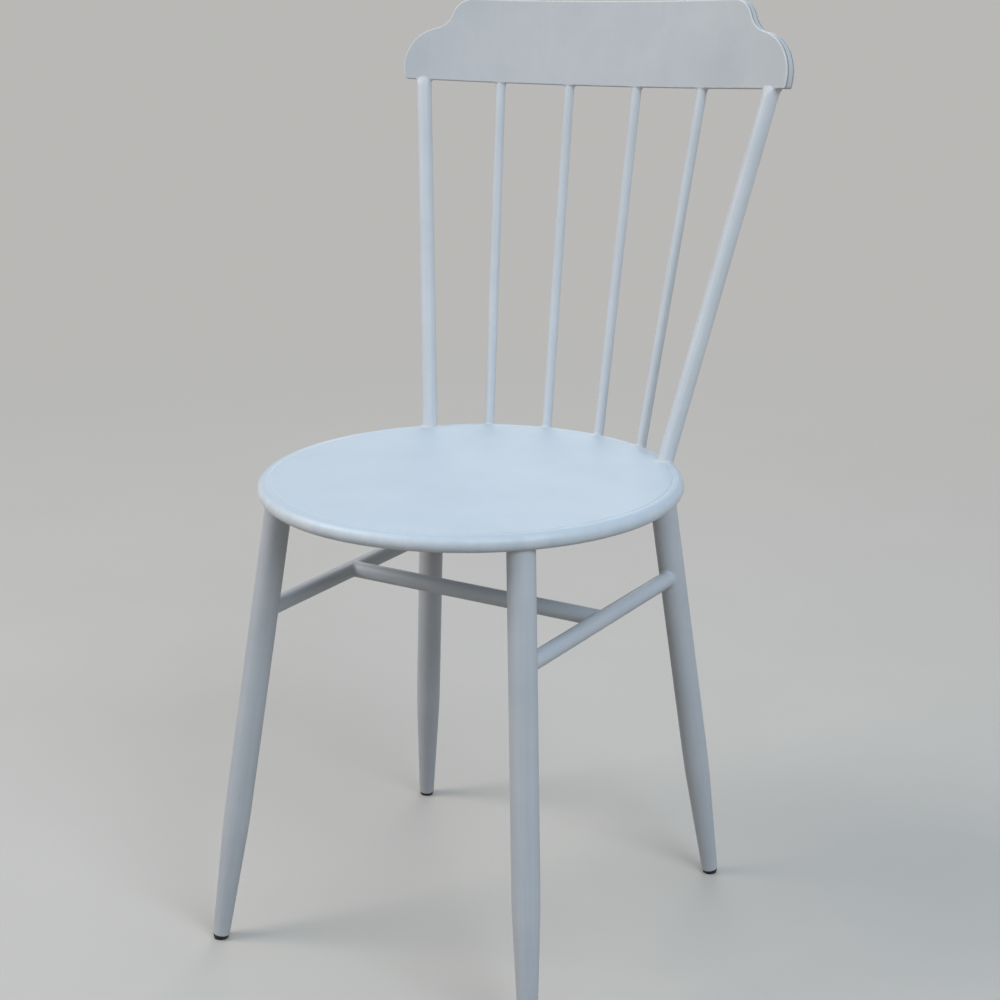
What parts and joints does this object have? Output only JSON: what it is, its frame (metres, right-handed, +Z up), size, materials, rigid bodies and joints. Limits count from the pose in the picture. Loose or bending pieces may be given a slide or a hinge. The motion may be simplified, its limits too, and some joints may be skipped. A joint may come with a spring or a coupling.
{
  "type": "metal dining chair",
  "caption": "Painted metal chair with a round seat, splayed tapered legs, an H of stretchers, and a spindle back under a curved, shaped crest.",
  "frame": {"origin": "on the floor, under the middle of the chair's overall width and depth", "axes": "+Z up, +Y towards the back, so the sitter faces -Y and +X is at the sitter's left"},
  "size_m": [0.4354, 0.4694, 0.8778],
  "materials": {
    "painted_steel": "satin white paint",
    "glide_plastic": "moulded black plastic"
  },
  "bodies": {
    "root": {"seat_top_sheet": "painted_steel", "seat_rim_hoop": "painted_steel", "seat_brace_front": "painted_steel", "seat_brace_rear": "painted_steel", "leg_front_right": "painted_steel", "leg_front_left": "painted_steel", "leg_rear_right": "painted_steel", "leg_rear_left": "painted_steel", "foot_glide_front_right": "glide_plastic", "foot_glide_front_left": "glide_plastic", "foot_glide_rear_right": "glide_plastic", "foot_glide_rear_left": "glide_plastic", "side_stretcher_right": "painted_steel", "side_stretcher_left": "painted_steel", "cross_stretcher": "painted_steel", "back_post_right": "painted_steel", "back_post_left": "painted_steel", "spindle_inner_right": "painted_steel", "spindle_inner_left": "painted_steel", "spindle_outer_right": "painted_steel", "spindle_outer_left": "painted_steel", "crest_front_sheet": "painted_steel", "crest_rear_sheet": "painted_steel", "crest_edge_band": "painted_steel"}
  },
  "joints": []
}
